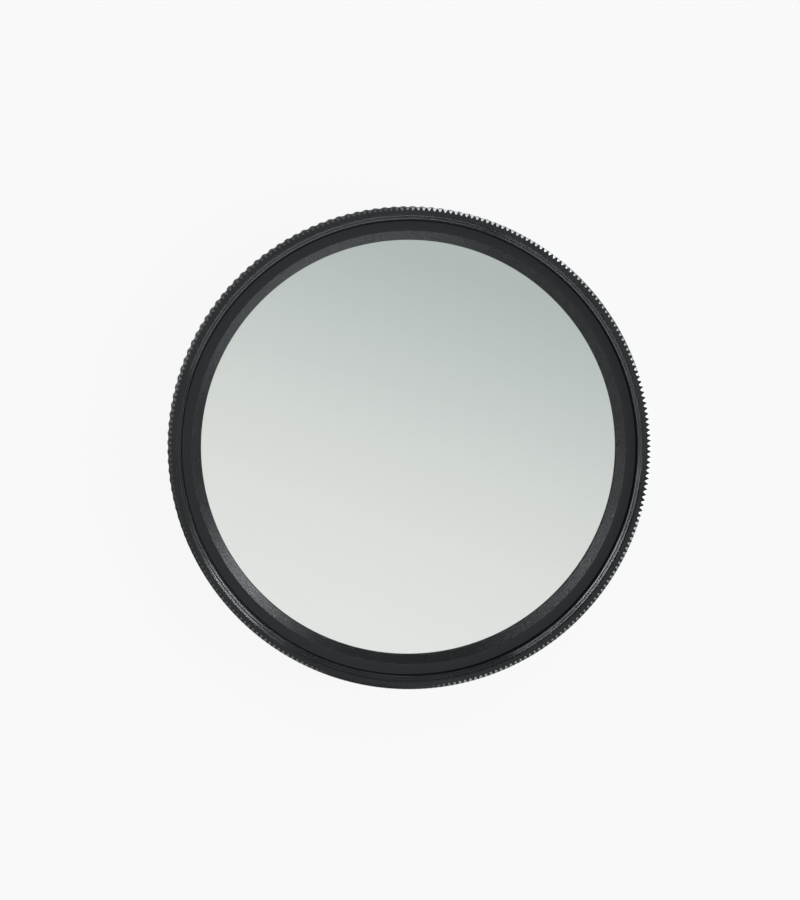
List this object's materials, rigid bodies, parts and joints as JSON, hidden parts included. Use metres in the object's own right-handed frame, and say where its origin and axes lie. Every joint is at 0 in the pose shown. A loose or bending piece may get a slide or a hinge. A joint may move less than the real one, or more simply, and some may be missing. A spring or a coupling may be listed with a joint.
{
  "type": "screw-in lens filter",
  "caption": "Round screw-in lens filter: pale graduated grey glass in a black knurled mount whose front ring turns freely on the threaded rear ring.",
  "frame": {"origin": "on the optical axis, at the end of the male thread, on which the filter lies when put down", "axes": "+Z along the optical axis from the lens towards the subject; +X and +Y across it"},
  "size_m": [0.054, 0.054, 0.008],
  "materials": {
    "black_anodised_rear": "black anodised, satin, knurled",
    "black_anodised_front": "black anodised, satin, knurled",
    "black_anodised_matt": "black anodised, bead-blasted matt",
    "graduated_glass": "polished, coated, graduated pale grey",
    "spring_steel": "drawn spring wire"
  },
  "bodies": {
    "rear": {"rear_ring": "black_anodised_rear", "snap_wire": "spring_steel"},
    "front": {"front_ring": "black_anodised_front", "retaining_ring": "black_anodised_matt", "filter_glass": "graduated_glass"}
  },
  "joints": [
    {"name": "front_turn", "type": "hinge", "parent": "rear", "child": "front", "pos_m": [0, 0, 0.0038], "axis": [0, 0, 1], "continuous": true}
  ]
}
